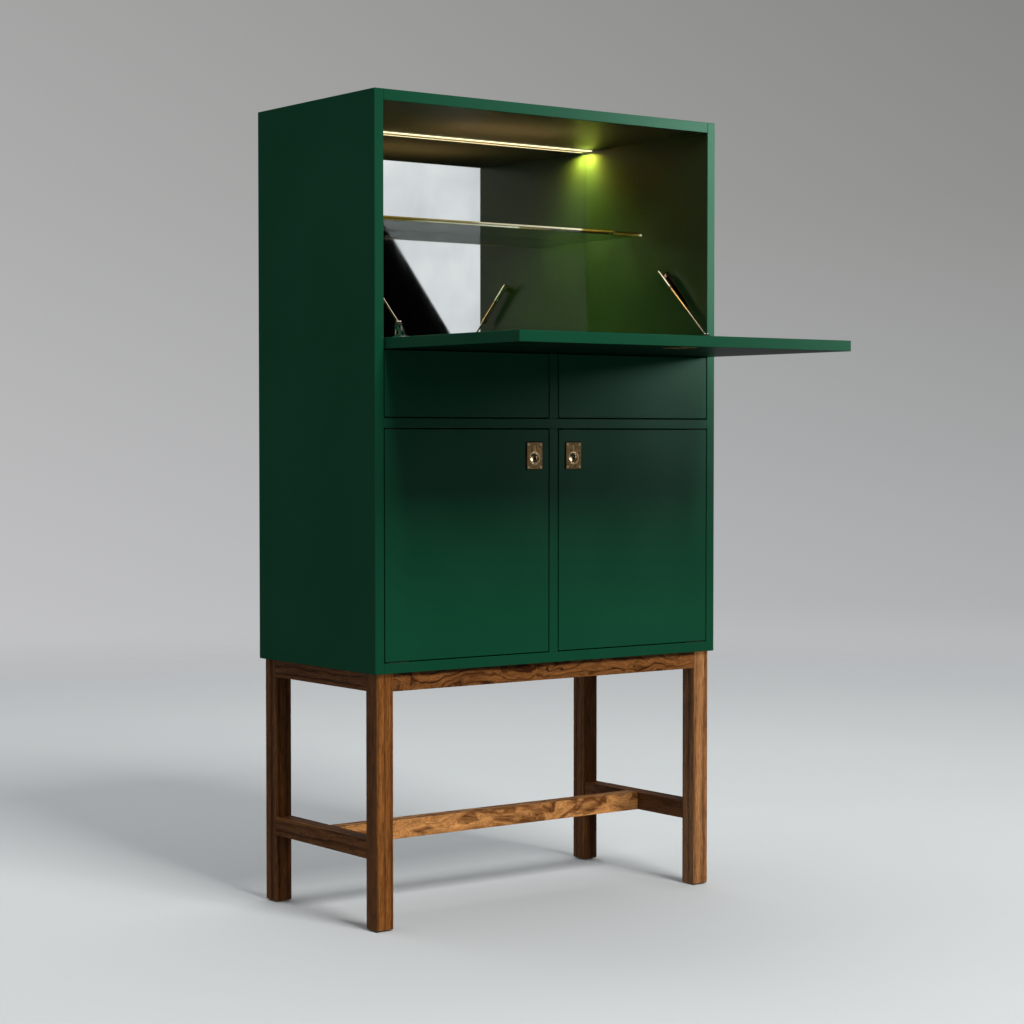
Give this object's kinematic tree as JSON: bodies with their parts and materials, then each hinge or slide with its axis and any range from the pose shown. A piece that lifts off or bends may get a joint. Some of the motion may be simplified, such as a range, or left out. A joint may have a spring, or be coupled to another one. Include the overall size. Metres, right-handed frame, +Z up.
{
  "type": "bar cabinet",
  "caption": "Upright bar cabinet with a fold-down work flap on stays, a mirrored and lit compartment with a glass shelf, drawers and doors below, on an open walnut stand.",
  "frame": {"origin": "on the floor, at the middle of the overall footprint with the flap open", "axes": "+Z up, +X to the right as seen from the front, +Y from the front towards the back"},
  "size_m": [0.8, 0.7976, 1.5],
  "materials": {
    "aluminium": "satin anodised",
    "birch": "clear satin lacquer",
    "brass": "aged satin",
    "clear_glass": "polished edges",
    "dark_plastic": "moulded",
    "diffuser": "translucent opal",
    "green_lacquer": "satin deep green lacquer on board",
    "mirror": "silvered glass",
    "nylon": "moulded",
    "steel": "zinc plated",
    "walnut": "oiled walnut with figured grain"
  },
  "bodies": {
    "case": {"apron_back": "walnut", "apron_front": "walnut", "apron_left": "walnut", "apron_right": "walnut", "back_panel": "green_lacquer", "bar_floor": "green_lacquer", "bottom_panel": "green_lacquer", "case_cleats": "walnut", "divider_lower": "green_lacquer", "divider_upper": "green_lacquer", "door_catches": "dark_plastic", "door_hinge_case_leaves": "brass", "door_shelves": "green_lacquer", "drawer_runner_channels": "steel", "flap_hinge_floor_leaves": "brass", "foot_glides": "nylon", "glass_shelf": "clear_glass", "led_diffuser": "diffuser", "led_profile": "aluminium", "leg_back_left": "walnut", "leg_back_right": "walnut", "leg_front_left": "walnut", "leg_front_right": "walnut", "mid_panel": "green_lacquer", "mirror": "mirror", "side_left": "green_lacquer", "side_right": "green_lacquer", "stay_wall_brackets": "brass", "stretcher_centre": "walnut", "stretcher_left": "walnut", "stretcher_right": "walnut", "top_panel": "green_lacquer"},
    "flap": {"flap": "green_lacquer", "flap_hinge_flap_leaves": "brass", "flap_pull_plate": "brass", "stay_flap_brackets": "brass"},
    "flap_pull_ring": {"flap_pull_ring": "brass"},
    "stay_left_rod": {"stay_left_rod": "brass"},
    "stay_left_tube": {"stay_left_tube": "brass"},
    "stay_right_rod": {"stay_right_rod": "brass"},
    "stay_right_tube": {"stay_right_tube": "brass"},
    "door_left": {"door_left": "green_lacquer", "door_left_hinge_leaves": "brass", "door_left_pull_plate": "brass", "door_left_strike": "steel"},
    "door_left_pull_ring": {"door_left_pull_ring": "brass"},
    "door_right": {"door_right": "green_lacquer", "door_right_hinge_leaves": "brass", "door_right_pull_plate": "brass", "door_right_strike": "steel"},
    "door_right_pull_ring": {"door_right_pull_ring": "brass"},
    "drawer_left": {"drawer_left_box": "birch", "drawer_left_front": "green_lacquer", "drawer_left_rails": "steel"},
    "drawer_right": {"drawer_right_box": "birch", "drawer_right_front": "green_lacquer", "drawer_right_rails": "steel"}
  },
  "joints": [
    {"name": "flap_hinge", "type": "hinge", "parent": "case", "child": "flap", "pos_m": [0, 0.01825, 1.061], "axis": [-1, 0, 0], "range_deg": [0, 90]},
    {"name": "flap_pull_ring_turn", "type": "hinge", "parent": "flap", "child": "flap_pull_ring", "pos_m": [0, -0.38075, 1.0413], "axis": [-1, 0, 0], "range_deg": [0, 90]},
    {"name": "stay_left_eye", "type": "hinge", "parent": "flap", "child": "stay_left_rod", "pos_m": [-0.361, -0.01765, 1.0863], "axis": [1, 0, 0], "range_deg": [0, 105.83]},
    {"name": "stay_left_slide", "type": "slide", "parent": "stay_left_rod", "child": "stay_left_tube", "axis": [0, -0.7329, -0.6804], "range_m": [0, 0.04555]},
    {"name": "stay_right_eye", "type": "hinge", "parent": "flap", "child": "stay_right_rod", "pos_m": [0.361, -0.01765, 1.0863], "axis": [1, 0, 0], "range_deg": [0, 105.83]},
    {"name": "stay_right_slide", "type": "slide", "parent": "stay_right_rod", "child": "stay_right_tube", "axis": [0, -0.7329, -0.6804], "range_m": [0, 0.04555]},
    {"name": "door_left_hinge", "type": "hinge", "parent": "case", "child": "door_left", "pos_m": [-0.367, 0.00475, 0.484], "axis": [0, 0, -1], "range_deg": [0, 110]},
    {"name": "door_left_pull_ring_turn", "type": "hinge", "parent": "door_left", "child": "door_left_pull_ring", "pos_m": [-0.046, -0.00145, 0.8695], "axis": [-1, 0, 0], "range_deg": [0, 90]},
    {"name": "door_right_hinge", "type": "hinge", "parent": "case", "child": "door_right", "pos_m": [0.367, 0.00475, 0.484], "axis": [0, 0, 1], "range_deg": [0, 110]},
    {"name": "door_right_pull_ring_turn", "type": "hinge", "parent": "door_right", "child": "door_right_pull_ring", "pos_m": [0.046, -0.00145, 0.8695], "axis": [-1, 0, 0], "range_deg": [0, 90]},
    {"name": "drawer_left_slide", "type": "slide", "parent": "case", "child": "drawer_left", "axis": [0, -1, 0], "range_m": [0, 0.26]},
    {"name": "drawer_right_slide", "type": "slide", "parent": "case", "child": "drawer_right", "axis": [0, -1, 0], "range_m": [0, 0.26]}
  ],
  "couplings": [
    {"joint": "stay_left_eye", "follows": "flap_hinge", "ratio": 1.1748},
    {"joint": "stay_left_slide", "follows": "flap_hinge", "m_per_rad": 0.028934},
    {"joint": "stay_right_eye", "follows": "flap_hinge", "ratio": 1.1748},
    {"joint": "stay_right_slide", "follows": "flap_hinge", "m_per_rad": 0.028934}
  ]
}
